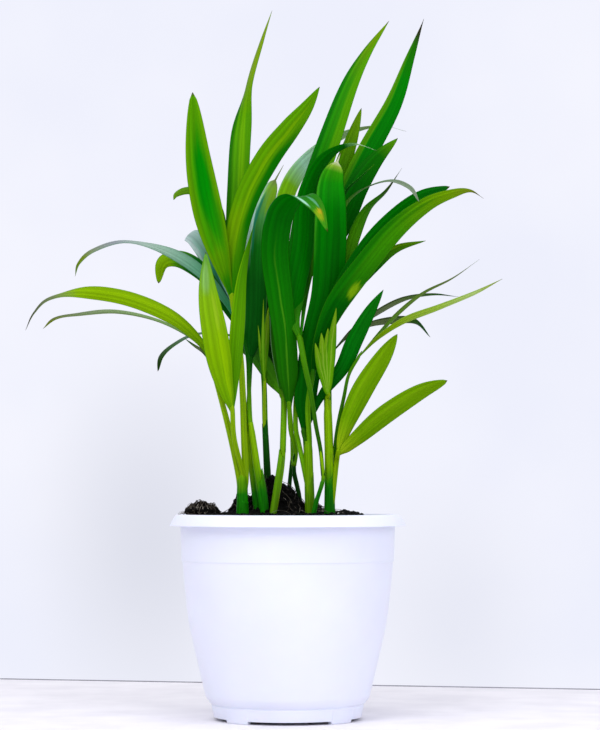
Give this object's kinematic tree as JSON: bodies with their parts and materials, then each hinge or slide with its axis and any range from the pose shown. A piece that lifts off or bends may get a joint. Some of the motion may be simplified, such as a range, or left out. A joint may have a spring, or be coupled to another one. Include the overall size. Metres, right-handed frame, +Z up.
{
  "type": "potted palm",
  "caption": "Young feather-leaved palm with pleated, arching leaflets, growing from dark potting mix in a tapered white nursery pot with a rolled rim.",
  "frame": {"origin": "on the pot's own axis, in the plane it stands on, at the middle of the flat pad under its floor", "axes": "+Z up, along the pot's axis; the front of the plant, as pictured, faces -Y; +X is to the viewer's right"},
  "size_m": [0.3002, 0.2021, 0.4701],
  "materials": {
    "pot_plastic": "satin moulded polypropylene",
    "potting_mix": "damp, rough and fibrous",
    "stem": "smooth, lightly ribbed",
    "leaf_dark": "pleated, satin",
    "leaf_mid": "pleated, satin",
    "leaf_bright": "pleated, satin"
  },
  "bodies": {
    "root": {"pot": "pot_plastic", "soil": "potting_mix", "soil_clod": "potting_mix", "stem_1": "stem", "stem_2": "stem", "stem_3": "stem", "stem_4": "stem", "stem_5": "stem", "stem_6": "stem", "stem_7": "stem", "stem_8": "stem", "stem_9": "stem", "stem_10": "stem", "leaf_long_left": "leaf_bright", "leaf_bright_front": "leaf_bright", "leaf_tall_left": "leaf_mid", "leaf_folded_back": "leaf_dark", "leaf_grey_left": "leaf_mid", "leaf_hooked_back": "leaf_mid", "leaf_low_left": "leaf_dark", "leaf_arched_centre": "leaf_dark", "leaf_tall_right": "leaf_dark", "leaf_tall_far_right": "leaf_dark", "leaf_round_front": "leaf_dark", "leaf_broad_right": "leaf_mid", "leaf_narrow_right": "leaf_mid", "leaf_back_right": "leaf_mid", "leaf_long_right": "leaf_bright", "leaf_low_right": "leaf_bright", "leaf_back_centre": "leaf_dark", "young_leaf_right": "leaf_bright", "young_leaf_left": "leaf_bright"}
  },
  "joints": []
}
